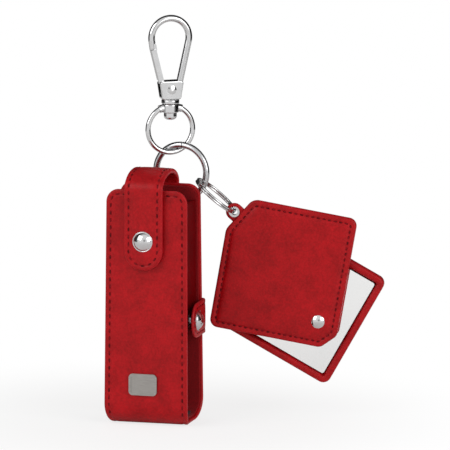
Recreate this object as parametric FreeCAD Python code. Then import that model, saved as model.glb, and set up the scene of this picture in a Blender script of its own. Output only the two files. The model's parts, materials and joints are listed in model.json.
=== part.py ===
import FreeCAD, Part
import math
import os

# Lipstick case with a press-stud strap, hung from a swivel trigger hook by three linked rings,
# with a leather charm that covers a swing-out mirror.  Millimetres, +Z up, front face towards -Y.
# The origin is the middle of the case's flat base.

V = FreeCAD.Vector

# ---- case: one wrap of leather for front, base and back
case_width = 33.4
case_width_top = 32.2
case_height = 92.2
case_depth_base = 25.0
case_depth_top = 21.0
leather = 1.5
lining_skin = 0.7
lining_edge = 1.0
base_radius = 8.5
panel_corner = 5.0
insole_board = 1.0

# ---- side walls of the case, set back from the panels' edges
gusset_recess = 2.0
gusset_skin = 1.2
gusset_low = 33.0
gusset_top_drop = 6.0
gusset_arch = 3.0
gusset_offset = 0.4

# ---- closing strap
strap_width = 15.3
strap_skin = 2.0
strap_x = -0.6
strap_gap = 0.9
strap_apex_rise = 7.0
strap_spring_rise = 0.3
strap_tip_drop = 30.9
strap_back_drop = 30.2
strap_snap_drop = 19.6
joint_slit = 0.05

# ---- side tab
tab_skin = 1.2
tab_width = 13.5
tab_z = 40.4
tab_snap_y = 0.0
tab_stand_off = 0.1
tab_root_reach = 9.0

# ---- press studs
cap_dia = 8.0
cap_rise = 1.7
cap_rim = 0.35
cap_stem_wall = 0.3
socket_dia = 6.4
socket_skin = 0.5
boss_dia = 2.6
boss_clearance = 0.15
stud_flange_dia = 6.0
stud_flange = 0.3
stud_eyelet_dia = 5.4
stud_eyelet_skin = 0.35
stud_stem_dia = 2.0

# ---- blank metal plate low on the front
plate_width = 11.2
plate_height = 8.4
plate_skin = 0.7
plate_x = -1.0
plate_z = 16.4
plate_corner = 1.6
plate_border = 0.9
plate_sink = 0.25

# ---- linked rings
carrier_radius = 10.5
carrier_wire = 2.5
carrier_x = 7.0
carrier_rise = 3.6
carrier_yaw = -8.0
carrier_gap_angle = 87.0
carrier_gap = 0.35
loop_skin = 1.2
loop_width = 5.6
loop_clearance = 0.9
loop_tail_up = 5.8
loop_tail_down = 11.0

eye_radius = 9.05
eye_wire = 2.0
link_clearance = 0.7
eye_yaw = 33.0

split_radius = 9.4
split_wire = 0.85
split_offset = V(13.5, 1.4, -9.1)
split_run = V(0.763, 0.093, -0.639)
split_face = V(0.154, -0.987, 0.041)

# ---- swivel and hook, on the eye ring's axis
head_dia = 5.0
head_height = 2.7
barrel_sink = 2.45
post_dia = 3.0
post_clearance = 0.08
swivel_gap = 0.1
barrel_dia = 6.6
barrel_height = 3.3
barrel_socket = 0.8
lug_dia = 3.0
lug_reach = 1.3
collar_dia = 6.9
collar_height = 1.8
hook_body_height = 7.3
hook_body_top = 9.8
hook_body_foot = 7.5
hook_body_depth = 4.7
hook_body_round = 0.45
hook_wire = 2.6
bow_radius = 7.55
bow_rise = 16.7
bow_root = 3.6
bow_left_end = 188.0
nose_length = 3.2
nose_lap = 2.2
lap_clearance = 0.12
gate_pivot_rise = 3.9
gate_hub_dia = 4.2
gate_hub_skin = 1.5
gate_slot = 3.0
gate_arm = 2.0
gate_face = 2.4
gate_side_gap = 0.08
gate_margin = 0.1
gate_knee_drop = 0.6
gate_tongue_root = 0.6
rivet_dia = 1.6
rivet_head_dia = 3.5
rivet_head = 0.4
rivet_clearance = 0.06
spring_wire = 0.4
spring_turns = 2
spring_coil_gap = 0.05
spring_dia = 2.8

# ---- charm: leather cover, hung by the eyelet in its corner tab
charm_yaw = 8.0
charm_roll = 9.9
cover_width = 49.7
cover_height = 52.2
cover_x = 22.9
cover_z = -19.9
cover_round = 3.2
chamfer_high = 13.4
chamfer_long = 8.3
chamfer_low = 5.6
facing_skin = 1.2
cover_board_skin = 1.4
cover_lining_skin = 0.8
board_inset = 1.6
tongue_radius = 3.3
tongue_root = 7.0
eyelet_outer = 2.1
eyelet_bore = 1.25
eyelet_wall = 0.3
eyelet_flange = 0.35
cap_rivet_x = 16.7
cap_rivet_z = -16.1
cap_rivet_dia = 6.6
cap_rivet_rise = 1.2

# ---- mirror tray, turning on a rivet in the cover's lower left corner
pivot_x = -19.5
pivot_z = -21.5
pivot_stem = 2.2
pivot_clearance = 0.06
pivot_head_dia = 5.0
pivot_head = 0.5
pivot_washer_dia = 5.6
pivot_washer = 0.3
pivot_washer_gap = 0.02
tray_left = -24.2
tray_right = 28.0
tray_low = -25.6
tray_high = 22.2
tray_round = 3.2
tray_chamfer_high = 10.2
tray_chamfer_long = 9.2
tray_depth = 4.2
tray_floor = 1.2
tray_rim = 3.2
tray_land = 8.0
glass_skin = 1.4
backing_skin = 0.4
glass_clearance = 0.15
mirror_angle = 19.5


# ---- shapes
def box(low, high):
    size = high - low
    return Part.makeBox(size.x, size.y, size.z, low)


def rod(start, end, dia):
    along = end - start
    return Part.makeCylinder(dia / 2, along.Length, start, along)


def disc_x(x, y, z, dia, length):
    return rod(V(x, y, z), V(x + length, y, z), dia)


def disc_y(x, y, z, dia, length):
    return rod(V(x, y, z), V(x, y + length, z), dia)


# a low dome on a disc, standing from its rim plane along the axis
def dome(dia, rim, rise, at, axis):
    half = dia / 2
    crown = (half * half + rise * rise) / (2 * rise)
    ball = Part.makeSphere(crown, V(0, 0, rim + rise - crown))
    body = ball.common(Part.makeCylinder(half, rise + 1, V(0, 0, rim)))
    return turned_to(Part.makeCylinder(half, rim).fuse(body).removeSplitter(), at, axis)


def turned_to(shape, at, axis):
    shape.Placement = FreeCAD.Placement(at, FreeCAD.Rotation(V(0, 0, 1), axis))
    return shape


# an upright plate: an outline in X and Z with rounded corners, from y to y + skin
def plate(corners, rounds, y, skin):
    edges = []
    count = len(corners)
    starts, ends, mids = [], [], []
    for i in range(count):
        corner = V(corners[i][0], y, corners[i][1])
        before = V(corners[i - 1][0], y, corners[i - 1][1]) - corner
        after = V(corners[(i + 1) % count][0], y, corners[(i + 1) % count][1]) - corner
        half_turn = before.getAngle(after) / 2
        run = rounds[i] / math.tan(half_turn)
        inward = (before.normalize() + after.normalize()).normalize()
        centre = corner + inward * (rounds[i] / math.sin(half_turn))
        starts.append(corner + before * run)
        ends.append(corner + after * run)
        mids.append(centre - inward * rounds[i])
    for i in range(count):
        if rounds[i] > 0:
            edges.append(Part.Arc(starts[i], mids[i], ends[i]).toShape())
        edges.append(Part.LineSegment(ends[i], starts[(i + 1) % count]).toShape())
    return Part.Face(Part.Wire(edges)).extrude(V(0, skin, 0))


def ring(centre, normal, radius, wire):
    return Part.makeTorus(radius, wire / 2, centre, normal)


def write(name, shape):
    solids = shape.Solids
    if not solids or not all(s.isValid() for s in solids):
        raise ValueError(name)
    shape = solids[0] if len(solids) == 1 else Part.makeCompound(solids)
    shape.exportStep(f"parts/{name}.step")
    print(name, len(solids), round(shape.Volume, 2))


# ---- case
strap_spring = case_height + strap_spring_rise
strap_apex = case_height + strap_apex_rise
strap_tip = case_height - strap_tip_drop
strap_back_low = case_height - strap_back_drop
strap_snap_z = case_height - strap_snap_drop
carrier_z = case_height + carrier_rise
cap_stem_dia = boss_dia + 2 * boss_clearance + 2 * cap_stem_wall
gusset_face_x = case_width_top / 2 - gusset_recess + gusset_offset


def half_width(z):
    return (case_width - (case_width - case_width_top) * z / case_height) / 2


def half_depth(z):
    return (case_depth_base - (case_depth_base - case_depth_top) * z / case_height) / 2


# everything inside a surface that lies inset from the wrap's outside
def bay(inset, top, half_width):
    low, high = half_depth(inset) - inset, half_depth(top) - inset
    points = [(-high, top), (-low, inset), (low, inset), (high, top), (-high, top)]
    face = Part.Face(Part.makePolygon([V(-half_width, y, z) for y, z in points]))
    block = face.extrude(V(2 * half_width, 0, 0))
    foot = [e for e in block.Edges if abs(e.BoundBox.ZMax - inset) < 1e-6 and e.BoundBox.XLength > 1]
    return block.makeFillet(base_radius - inset, foot)


def panel_outline(inset, radius):
    low, high = -5, case_height - inset
    foot, top = half_width(low) - inset, half_width(high) - inset
    corners = [(-foot, low), (-top, high), (top, high), (foot, low)]
    return plate(corners, [0, radius, radius, 0], -case_depth_base, 2 * case_depth_base)


def outer_shell():
    wrap = bay(0, case_height, case_width / 2).cut(bay(leather, case_height + 1, case_width))
    return wrap.common(panel_outline(0, panel_corner))


def lining():
    inner = leather + lining_skin
    wrap = bay(leather, case_height, case_width / 2).cut(bay(inner, case_height + 1, case_width))
    return wrap.common(panel_outline(lining_edge, panel_corner - lining_edge))


def insole():
    low = leather + lining_skin
    half_x = gusset_face_x - gusset_skin - gusset_offset
    slab = box(V(-half_x, -case_depth_base, 0), V(half_x, case_depth_base, low + insole_board))
    return slab.common(bay(low, case_height, case_width))


def gusset(side):
    inner = gusset_face_x - gusset_skin
    x = inner if side > 0 else -inner - gusset_skin
    high = case_height - gusset_top_drop
    slab = box(V(x, -case_depth_base, gusset_low), V(x + gusset_skin, case_depth_base, high))
    body = slab.common(bay(leather + lining_skin, case_height, case_width))
    half = half_depth(gusset_low) - leather - lining_skin
    bow = (half * half + gusset_arch * gusset_arch) / (2 * gusset_arch)
    arch = disc_x(x - 1, 0, gusset_low + gusset_arch - bow, 2 * bow, gusset_skin + 2)
    return body.cut(arch)


# ---- strap: leg, arch and leg in one width, parted at the crown of the arch
arch_y = -strap_gap / 2
arch_half = half_depth(strap_spring) + strap_skin + strap_gap / 2


def arch_block(inset):
    rise = strap_apex - strap_spring - inset
    curve = Part.Ellipse(V(0, 0, 0), arch_half - inset, rise).toShape()
    body = Part.Face(Part.Wire([curve])).extrude(V(0, 0, strap_width))
    body.Placement = FreeCAD.Placement(
        V(strap_x - strap_width / 2, arch_y, strap_spring), FreeCAD.Rotation(V(1, 1, 1), 120)
    )
    return body


def strap_arch():
    band = arch_block(0).cut(arch_block(strap_skin))
    high = V(strap_x + strap_width, 2 * arch_half, strap_apex + 1)
    return band.common(box(V(strap_x - strap_width, -2 * arch_half, strap_spring), high))


def strap_leg(low, gap, tip_round):
    skin = bay(-gap - strap_skin, strap_spring, case_width).cut(bay(-gap, strap_spring + 1, 2 * case_width))
    left, right = strap_x - strap_width / 2, strap_x + strap_width / 2
    corners = [(left, low), (left, strap_spring), (right, strap_spring), (right, low)]
    depth = case_depth_base / 2 + 5
    outline = plate(corners, [tip_round, 0, 0, tip_round], 0, depth)
    if gap > 0:
        outline = plate(corners, [tip_round, 0, 0, tip_round], -depth, depth)
    return skin.common(outline)


def strap_front():
    leg = strap_leg(strap_tip, strap_gap, strap_width / 2 - 0.01)
    low = V(-case_width, -case_depth_base, 0)
    half = strap_arch().common(box(low, V(case_width, arch_y - joint_slit, strap_apex + 1)))
    hole = disc_y(strap_x, -case_depth_base, strap_snap_z, cap_stem_dia, case_depth_base)
    return leg.fuse(half).removeSplitter().cut(hole)


def strap_rear():
    leg = strap_leg(strap_back_low, 0, 2.0)
    low = V(-case_width, arch_y, 0)
    half = strap_arch().common(box(low, V(case_width, case_depth_base, strap_apex + 1)))
    return leg.fuse(half).removeSplitter()


# ---- belt loop on the strap's rear leg; the carrier ring runs through its tunnel
loop_bore = carrier_wire + 2 * loop_clearance
chain_y = half_depth(carrier_z - carrier_radius) + strap_skin + loop_bore / 2 + 0.1
loop_z = carrier_z - carrier_radius


def hanging_loop():
    x = carrier_x - loop_width / 2
    body = disc_x(x, chain_y, loop_z, loop_bore + 2 * loop_skin, loop_width)
    root = half_depth(loop_z) + strap_skin
    low = V(x, root - 1, loop_z - loop_tail_down)
    tails = box(low, V(x + loop_width, root + loop_skin, loop_z + loop_tail_up))
    body = body.fuse(tails).removeSplitter().cut(disc_x(x - 1, chain_y, loop_z, loop_bore, loop_width + 2))
    return body.cut(bay(-strap_skin, case_height, case_width))


# ---- side tab, sewn to the back and wrapped round its right edge
tab_x = half_width(tab_z - tab_width / 2) + tab_stand_off
tab_hinge_y = half_depth(tab_z)


def side_tab():
    half = tab_width / 2
    far = V(tab_x + tab_skin, tab_hinge_y - joint_slit, tab_z + half)
    body = box(V(tab_x, tab_snap_y, tab_z - half), far)
    body = body.fuse(disc_x(tab_x, tab_snap_y, tab_z, tab_width, tab_skin)).removeSplitter()
    return body.cut(disc_x(tab_x - 1, tab_snap_y, tab_z, cap_stem_dia, tab_skin + 2))


def side_tab_root():
    half = tab_width / 2
    slab = box(V(tab_x - tab_root_reach, 0, tab_z - half), V(tab_x, case_depth_base, tab_z + half))
    return slab.common(bay(-tab_skin, case_height, case_width)).cut(bay(0, case_height + 1, 2 * case_width))


# ---- press studs: cap and socket clinched through the strap, stud and eyelet through the wall
def snap_cap(at, out, skin):
    stem = rod(at - out * skin, at, cap_stem_dia)
    head = dome(cap_dia, cap_rim, cap_rise, at, out)
    bore = rod(at - out * (skin + 1), at + out * cap_rim, boss_dia + 2 * boss_clearance)
    return head.fuse(stem).removeSplitter().cut(bore)


def snap_socket(at, out, skin):
    face = at - out * skin
    ring_body = rod(face - out * socket_skin, face, socket_dia)
    return ring_body.cut(rod(face - out * 2, face + out, cap_stem_dia))


def snap_stud(wall, out, skin, boss):
    flange = rod(wall, wall + out * stud_flange, stud_flange_dia)
    post = rod(wall, wall + out * boss, boss_dia)
    stem = rod(wall - out * skin, wall, stud_stem_dia)
    return flange.fuse(post).fuse(stem).removeSplitter()


def snap_eyelet(wall, out, skin):
    inner = wall - out * skin
    return rod(inner - out * stud_eyelet_skin, inner, stud_eyelet_dia)


front_out = V(0, -1, 0)
right_out = V(1, 0, 0)
strap_face = V(strap_x, -(half_depth(strap_snap_z) + strap_gap + strap_skin), strap_snap_z)
panel_face = V(strap_x, -half_depth(strap_snap_z), strap_snap_z)
tab_face = V(tab_x + tab_skin, tab_snap_y, tab_z)
gusset_face = V(gusset_face_x, tab_snap_y, tab_z)


# ---- blank plate, lying on the sloping front panel
def blank_plate():
    half = plate_width / 2
    tall = plate_height / 2
    corners = [(-half, -tall), (-half, tall), (half, tall), (half, -tall)]
    body = plate(corners, [plate_corner] * 4, -plate_skin, plate_skin)
    inside = [(x - math.copysign(plate_border, x), z - math.copysign(plate_border, z)) for x, z in corners]
    sunk = plate(inside, [plate_corner - plate_border] * 4, -plate_skin, plate_sink)
    slope = math.degrees(math.atan2(case_depth_base - case_depth_top, 2 * case_height))
    body = body.cut(sunk)
    body.Placement = FreeCAD.Placement(
        V(plate_x, -half_depth(plate_z), plate_z), FreeCAD.Rotation(V(1, 0, 0), -slope)
    )
    return body


# ---- rings
def flat_dir(yaw):
    return V(math.cos(math.radians(yaw)), math.sin(math.radians(yaw)), 0)


def facing(yaw):
    return V(math.sin(math.radians(yaw)), -math.cos(math.radians(yaw)), 0)


carrier_centre = V(carrier_x, chain_y, carrier_z)
hook_axis = V(carrier_x - 4.2, chain_y - 0.7, 0)
split_centre = carrier_centre + split_offset
link_pitch = (carrier_wire + eye_wire) / 2 + link_clearance
eye_z = carrier_z + carrier_radius + eye_radius - link_pitch


def carrier_ring():
    body = ring(carrier_centre, facing(carrier_yaw), carrier_radius, carrier_wire)
    corner = V(carrier_wire, carrier_wire, carrier_gap / 2)
    slit = box(-corner, corner)
    slit.translate(V(carrier_radius, 0, 0))
    slit.rotate(V(0, 0, 0), V(0, 1, 0), -carrier_gap_angle)
    slit.rotate(V(0, 0, 0), V(0, 0, 1), carrier_yaw)
    slit.translate(carrier_centre)
    return body.cut(slit)


# two turns of wire lying side by side
def split_ring():
    normal = split_run.cross(split_face).normalize()
    apart = normal * (split_wire / 2)
    near = ring(split_centre - apart, normal, split_radius, split_wire)
    far = ring(split_centre + apart, normal, split_radius, split_wire)
    return near.fuse(far).removeSplitter()


# ---- swivel, in the hook's upright frame
barrel_low = eye_z + eye_radius - barrel_sink
head_high = barrel_low - swivel_gap
head_low = head_high - head_height
barrel_high = barrel_low + barrel_height
collar_low = barrel_high + swivel_gap
body_low = collar_low + collar_height
body_high = body_low + hook_body_height
pivot_w = body_low + gate_pivot_rise
gate_half = gate_arm / 2
bow_z = body_high + bow_rise


def to_hook(shape):
    turn = FreeCAD.Rotation(V(0, 0, 1), eye_yaw)
    shape.Placement = FreeCAD.Placement(hook_axis, turn).multiply(shape.Placement)
    return shape


def eye_ring_local():
    body = ring(V(0, 0, eye_z), V(0, 1, 0), eye_radius, eye_wire)
    core = barrel_dia / 2 - barrel_socket
    return body.cut(Part.makeCylinder(core, 20, V(0, 0, head_high - 1)))


def eye_barrel_local():
    body = Part.makeCylinder(barrel_dia / 2, barrel_height, V(0, 0, barrel_low))
    rim = [e for e in body.Edges if e.BoundBox.ZLength < 1e-6]
    body = body.makeFillet(0.4, rim)
    for side in (-1, 1):
        x = barrel_dia / 2
        z = eye_z + math.sqrt(eye_radius ** 2 - x ** 2)
        away = V(side * (z - eye_z), 0, -x).normalize()
        body = body.fuse(rod(V(side * (x - 0.6), 0, z), V(side * x, 0, z) + away * lug_reach, lug_dia))
    body = body.cut(Part.makeCylinder(post_dia / 2 + post_clearance, 20, V(0, 0, head_low)))
    return body.cut(eye_ring_local())


def swivel_post_local():
    shaft = Part.makeCylinder(post_dia / 2, body_low + 1.4 - head_low - 1, V(0, 0, head_low + 1))
    head = Part.makeCylinder(head_dia / 2, head_high - head_low, V(0, 0, head_low))
    low = [e for e in head.Edges if abs(e.BoundBox.ZMax - head_low) < 1e-6]
    return head.makeFillet(1.4, low).fuse(shaft).removeSplitter()


def swivel_collar_local():
    body = Part.makeCylinder(collar_dia / 2, collar_height, V(0, 0, collar_low))
    rim = [e for e in body.Edges if e.BoundBox.ZLength < 1e-6]
    return body.makeFillet(0.5, rim).cut(Part.makeCylinder(post_dia / 2, 20, V(0, 0, collar_low - 5)))


def bow_points():
    centre = V(0, 0, bow_z)
    root = V(bow_root, 0, body_high - 1.5)
    reach = root - centre
    turn = math.atan2(reach.z, reach.x) + math.acos(bow_radius / reach.Length)
    on = lambda a: centre + V(math.cos(a), 0, math.sin(a)) * bow_radius
    end = math.radians(bow_left_end)
    nose = on(end) + V(-math.sin(end), 0, math.cos(end)) * nose_length
    return root, on(turn), on((turn + end) / 2), on(end), nose


def hook_bow():
    root, right, top, left, nose = bow_points()
    path = Part.Wire([
        Part.LineSegment(root, right).toShape(),
        Part.Arc(right, top, left).toShape(),
        Part.LineSegment(left, nose).toShape(),
    ])
    section = Part.Wire([Part.Circle(root, right - root, hook_wire / 2).toShape()])
    return path.makePipeShell([section], True, False)


# the nose gives up its inner half, where the gate's tongue lies
def nose_cut(grow):
    nose, left = bow_points()[4], bow_points()[3]
    up = (left - nose).normalize()
    side = V(up.z, 0, -up.x)
    wide = hook_wire
    low = box(V(-grow, -wide, -wide), V(wide, wide, nose_lap + grow))
    low.Placement = FreeCAD.Placement(nose, FreeCAD.Rotation(V(1, 0, 0), side))
    return low


def gate_slot_block(grow):
    half = gate_slot / 2 - grow
    corners = [(-9, pivot_w - 3.0), (-9, body_high + 4), (2.9, body_high + 4), (2.9, pivot_w - 3.0)]
    return plate(corners, [0, 0, 0, 2.2], -half, 2 * half)


def hook_frame_local():
    foot, top = hook_body_foot / 2, hook_body_top / 2
    corners = [(-foot, body_low), (-top, body_high), (top, body_high), (foot, body_low)]
    body = plate(corners, [1.0, 1.2, 1.2, 1.0], -hook_body_depth / 2, hook_body_depth)
    faces = [e for e in body.Edges if e.BoundBox.YLength < 1e-6]
    body = body.makeFillet(hook_body_round, faces)
    body = body.fuse(hook_bow()).removeSplitter()
    body = body.cut(gate_slot_block(0))
    body = body.cut(nose_cut(0))
    body = body.cut(disc_y(0, -9, pivot_w, rivet_dia, 18))
    return body.cut(swivel_post_local())


# a straight bar of the gate between two points of its outline
def gate_bar(start, end, y, skin):
    along = (end - start).normalize()
    across = V(along.z, 0, -along.x) * gate_half
    corners = [start - across, end - across, end + across, start + across]
    return plate([(p.x, p.z) for p in corners], [0, 0, 0, 0], y, skin)


def gate_local():
    nose, left = bow_points()[4], bow_points()[3]
    up = (left - nose).normalize()
    side = V(up.z, 0, -up.x)
    pivot = V(0, 0, pivot_w)
    tip = nose - up * lap_clearance
    knee = V(gate_half + gate_margin - hook_body_top / 2, 0, body_high - gate_knee_drop)
    slot_face = -gate_slot / 2 + gate_side_gap
    lever = gate_bar(pivot, knee, slot_face, gate_hub_skin)
    arm = gate_bar(knee, tip, slot_face, gate_hub_skin).fuse(lever)
    arm = arm.fuse(disc_y(knee.x, slot_face, knee.z, gate_arm, gate_hub_skin))
    start = body_high + 0.3
    face = gate_bar(knee, tip, -gate_face / 2, gate_face)
    face = face.common(box(V(-20, -20, start), V(20, 20, start + 40)))
    a, b = nose + side * lap_clearance, nose + side * (hook_wire / 2)
    rise = up * (nose_lap - lap_clearance)
    root = up * gate_tongue_root
    outline = [(p.x, p.z) for p in (a - root, a + rise, b + rise, b - root)]
    tongue = plate(outline, [0, 0, 0.5, 0], -gate_face / 2, gate_face)
    hub = disc_y(0, slot_face, pivot_w, gate_hub_dia, gate_hub_skin)
    body = hub.fuse(arm).fuse(face).fuse(tongue).removeSplitter()
    return body.cut(disc_y(0, -9, pivot_w, rivet_dia + 2 * rivet_clearance, 18))


def gate_rivet_local():
    reach = hook_body_depth / 2
    body = disc_y(0, -reach - 0.05, pivot_w, rivet_dia, 2 * reach + 0.1)
    for side in (-1, 1):
        body = body.fuse(dome(rivet_head_dia, 0.1, rivet_head, V(0, side * reach, pivot_w), V(0, side, 0)))
    return body.removeSplitter()


def gate_spring_local():
    start = gate_side_gap - gate_slot / 2 + gate_hub_skin + swivel_gap + spring_wire / 2
    pitch = spring_wire + spring_coil_gap
    path = Part.makeHelix(pitch, spring_turns * pitch, spring_dia / 2)
    half = (spring_wire - spring_coil_gap) / 2
    x = spring_dia / 2
    square = [(-half, -half), (half, -half), (half, half), (-half, half), (-half, -half)]
    section = Part.makePolygon([V(x + a, 0, b) for a, b in square])
    coil = Part.Wire(path.Edges).makePipeShell([section], True, True)
    return turned_to(coil, V(0, start, pivot_w), V(0, 1, 0))


# ---- charm, in its own frame: the eyelet's middle is the origin, the cover's face is towards -Y
charm_eyelet_at = split_centre + V(split_run).normalize() * split_radius


def to_charm(shape):
    turn = FreeCAD.Rotation(V(0, 0, 1), charm_yaw).multiply(FreeCAD.Rotation(V(0, 1, 0), charm_roll))
    shape.Placement = FreeCAD.Placement(charm_eyelet_at, turn).multiply(shape.Placement)
    return shape


facing_y = -cover_board_skin / 2 - facing_skin
board_y = -cover_board_skin / 2
lining_y = cover_board_skin / 2
tray_y = lining_y + cover_lining_skin + pivot_washer


def cover_corners(inset):
    left, right = cover_x - cover_width / 2 + inset, cover_x + cover_width / 2 - inset
    low, high = cover_z - cover_height / 2 + inset, cover_z + cover_height / 2 - inset
    return [
        (left, low),
        (left, high - chamfer_high),
        (left + chamfer_long, high),
        (right, high),
        (right, low + chamfer_low),
        (right - chamfer_low, low),
    ]


def cover_sheet(inset, y, skin):
    r = max(cover_round - inset, 0.8)
    return plate(cover_corners(inset), [r, 1.2, 1.2, r, 1.2, 1.2], y, skin)


def cap_rivet_hole():
    return disc_y(cover_x + cap_rivet_x, facing_y - 1, cover_z + cap_rivet_z, pivot_stem, 9)


def pivot_hole(clearance):
    return disc_y(cover_x + pivot_x, -9, cover_z + pivot_z, pivot_stem + 2 * clearance, 30)


def tongue_shape():
    inward = V(chamfer_high, 0, -chamfer_long).normalize()
    across = V(inward.z, 0, -inward.x)
    end = inward * tongue_root
    half = tongue_radius
    corners = [across * half, end + across * half, end - across * half, across * -half]
    strip = plate([(p.x, p.z) for p in corners], [0, 0, 0, 0], board_y, cover_board_skin)
    return strip.fuse(disc_y(0, board_y, 0, 2 * tongue_radius, cover_board_skin)).removeSplitter()


def cover_tab():
    return tongue_shape().cut(disc_y(0, -9, 0, 2 * (eyelet_bore + eyelet_wall), 18))


def tab_eyelet():
    half = cover_board_skin / 2
    body = disc_y(0, -half - eyelet_flange, 0, 2 * eyelet_outer, cover_board_skin + 2 * eyelet_flange)
    leather_ring = disc_y(0, -half, 0, 4 * eyelet_outer, cover_board_skin)
    leather_ring = leather_ring.cut(disc_y(0, -9, 0, 2 * (eyelet_bore + eyelet_wall), 18))
    return body.cut(leather_ring).cut(disc_y(0, -9, 0, 2 * eyelet_bore, 18))


def eyelet_room():
    return disc_y(0, -9, 0, 2 * (eyelet_outer + 0.1), 18)


def cover_facing():
    return cover_sheet(0, facing_y, facing_skin).cut(cap_rivet_hole()).cut(eyelet_room())


def cover_board():
    sheet = cover_sheet(board_inset, board_y, cover_board_skin).cut(tongue_shape())
    return sheet.cut(pivot_hole(0)).cut(cap_rivet_hole())


def cover_lining():
    sheet = cover_sheet(0.3, lining_y, cover_lining_skin).cut(eyelet_room())
    return sheet.cut(pivot_hole(0)).cut(cap_rivet_hole())


def cap_rivet():
    at = V(cover_x + cap_rivet_x, facing_y, cover_z + cap_rivet_z)
    back = facing_skin + cover_board_skin + cover_lining_skin
    stem = rod(at, at + V(0, back, 0), pivot_stem)
    return dome(cap_rivet_dia, 0.3, cap_rivet_rise, at, V(0, -1, 0)).fuse(stem).removeSplitter()


# ---- mirror tray, drawn shut and then swung out about its pivot
def swung(shape):
    shape.rotate(V(cover_x + pivot_x, 0, cover_z + pivot_z), V(0, 1, 0), mirror_angle)
    return shape


def tray_corners(inset):
    left, right = cover_x + tray_left + inset, cover_x + tray_right - inset
    low, high = cover_z + tray_low + inset, cover_z + tray_high - inset
    return [
        (left, low),
        (left, high - tray_chamfer_high),
        (left + tray_chamfer_long, high),
        (right, high),
        (right, low),
    ]


def tray_sheet(inset, y, skin):
    r = max(tray_round - inset, 0.8)
    return plate(tray_corners(inset), [r, 1.5, 1.5, r, r], y, skin)


# the recess leaves a land for the pivot in the lower left corner
def tray_recess(clearance):
    x, z = cover_x + tray_left, cover_z + tray_low
    inset = tray_rim + clearance
    depth = tray_depth - tray_floor
    corners = [(x - 1, z - 1), (x - 1, z + tray_land * 2), (x + tray_land * 2, z - 1)]
    land = plate(corners, [0, 0, 0], tray_y - 1, depth + 1)
    return tray_sheet(inset, tray_y - 1, depth + 1).cut(land)


def mirror_tray():
    return swung(tray_sheet(0, tray_y, tray_depth).cut(tray_recess(0)).cut(pivot_hole(pivot_clearance)))


def recess_layer(low, skin):
    return tray_recess(glass_clearance).common(box(V(-90, low, -90), V(90, low + skin, 90)))


def mirror_backing():
    return swung(recess_layer(tray_y + tray_depth - tray_floor - backing_skin, backing_skin))


def mirror_glass():
    return swung(recess_layer(tray_y + tray_depth - tray_floor - backing_skin - glass_skin, glass_skin))


def pivot_rivet():
    at = V(cover_x + pivot_x, board_y, cover_z + pivot_z)
    end = V(at.x, tray_y + tray_depth + swivel_gap, at.z)
    return rod(at, end, pivot_stem).fuse(rod(end, end + V(0, pivot_head, 0), pivot_head_dia)).removeSplitter()


def pivot_spacer():
    at = V(cover_x + pivot_x, tray_y - pivot_washer, cover_z + pivot_z)
    return rod(at, at + V(0, pivot_washer - pivot_washer_gap, 0), pivot_washer_dia).cut(pivot_hole(0))


os.makedirs("parts", exist_ok=True)
inside = bay(leather + lining_skin, case_height, case_width)
front_boss = strap_gap + strap_skin * 0.35
side_boss = tab_x - gusset_face_x + tab_skin * 0.1
stud_front = snap_stud(panel_face, front_out, leather + lining_skin, front_boss)
stud_side = snap_stud(gusset_face, right_out, gusset_skin, side_boss)
write("outer_shell", outer_shell().cut(stud_front))
write("lining", lining().cut(stud_front))
write("insole_board", insole())
write("right_gusset", gusset(1).cut(stud_side))
write("left_gusset", gusset(-1))
# the clinched cap and socket press their own seats into the leather
strap_cap = snap_cap(strap_face, front_out, strap_skin)
strap_socket = snap_socket(strap_face, front_out, strap_skin)
write("strap_flap", strap_front().cut(strap_cap).cut(strap_socket))
write("strap_rear", strap_rear())
write("hanging_loop", hanging_loop())
write("side_tab", side_tab())
write("side_tab_root", side_tab_root())
write("strap_snap_cap", strap_cap)
write("strap_snap_socket", strap_socket)
write("front_snap_stud", stud_front)
write("front_snap_eyelet", snap_eyelet(panel_face, front_out, leather + lining_skin).common(inside))
write("side_snap_cap", snap_cap(tab_face, right_out, tab_skin))
write("side_snap_socket", snap_socket(tab_face, right_out, tab_skin))
write("side_snap_stud", stud_side)
write("side_snap_eyelet", snap_eyelet(gusset_face, right_out, gusset_skin))
write("blank_plate", blank_plate())
write("carrier_ring", carrier_ring())
write("split_ring", split_ring())
write("eye_ring", to_hook(eye_ring_local()))
write("eye_barrel", to_hook(eye_barrel_local()))
write("swivel_post", to_hook(swivel_post_local()))
write("swivel_collar", to_hook(swivel_collar_local()))
write("hook_frame", to_hook(hook_frame_local()))
write("gate", to_hook(gate_local()))
write("gate_rivet", to_hook(gate_rivet_local()))
write("gate_spring", to_hook(gate_spring_local()))
write("cover_facing", to_charm(cover_facing()))
write("cover_board", to_charm(cover_board()))
write("cover_lining", to_charm(cover_lining()))
write("cover_tab", to_charm(cover_tab()))
write("tab_eyelet", to_charm(tab_eyelet()))
write("cover_cap_rivet", to_charm(cap_rivet()))
write("pivot_rivet", to_charm(pivot_rivet()))
write("pivot_spacer", to_charm(pivot_spacer()))
write("mirror_tray", to_charm(mirror_tray()))
write("mirror_backing", to_charm(mirror_backing()))
write("mirror_glass", to_charm(mirror_glass()))
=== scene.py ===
import bpy
import bmesh
import json
import math
from mathutils import Matrix, Vector


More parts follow.
